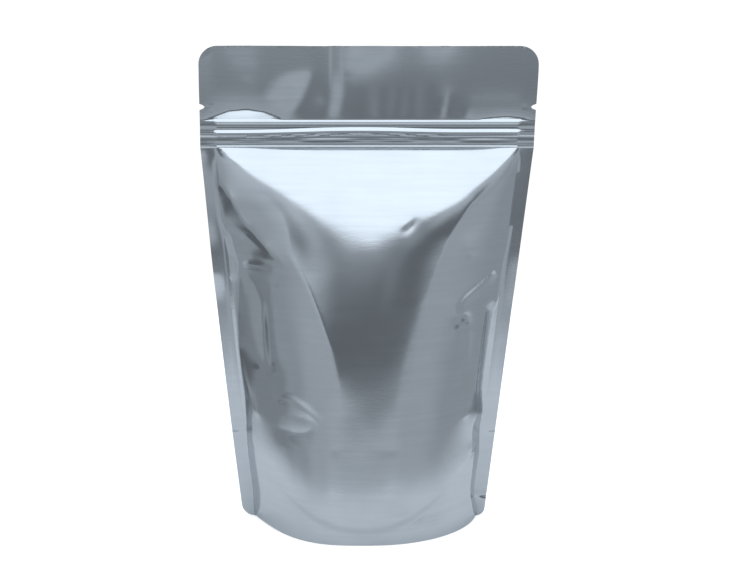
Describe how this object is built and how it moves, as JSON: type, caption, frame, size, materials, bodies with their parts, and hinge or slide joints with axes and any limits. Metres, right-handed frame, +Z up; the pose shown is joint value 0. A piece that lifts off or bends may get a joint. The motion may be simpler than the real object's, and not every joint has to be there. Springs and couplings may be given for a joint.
{
  "type": "foil stand-up pouch",
  "caption": "Empty metallised press-to-close pouch standing on its opened foot: flat header with rounded corners and tear notches, raised fastener band, bellied panels and side seals.",
  "frame": {"origin": "middle of the pouch's outline on the table, at the level the foot stands on", "axes": "+Z up to the header, -Y out of the front panel, +X to the right as seen from the front"},
  "size_m": [0.15, 0.0818, 0.2176],
  "materials": {
    "foil_film": "semi-gloss metallised film"
  },
  "bodies": {
    "root": {"pouch": "foil_film"}
  },
  "joints": []
}
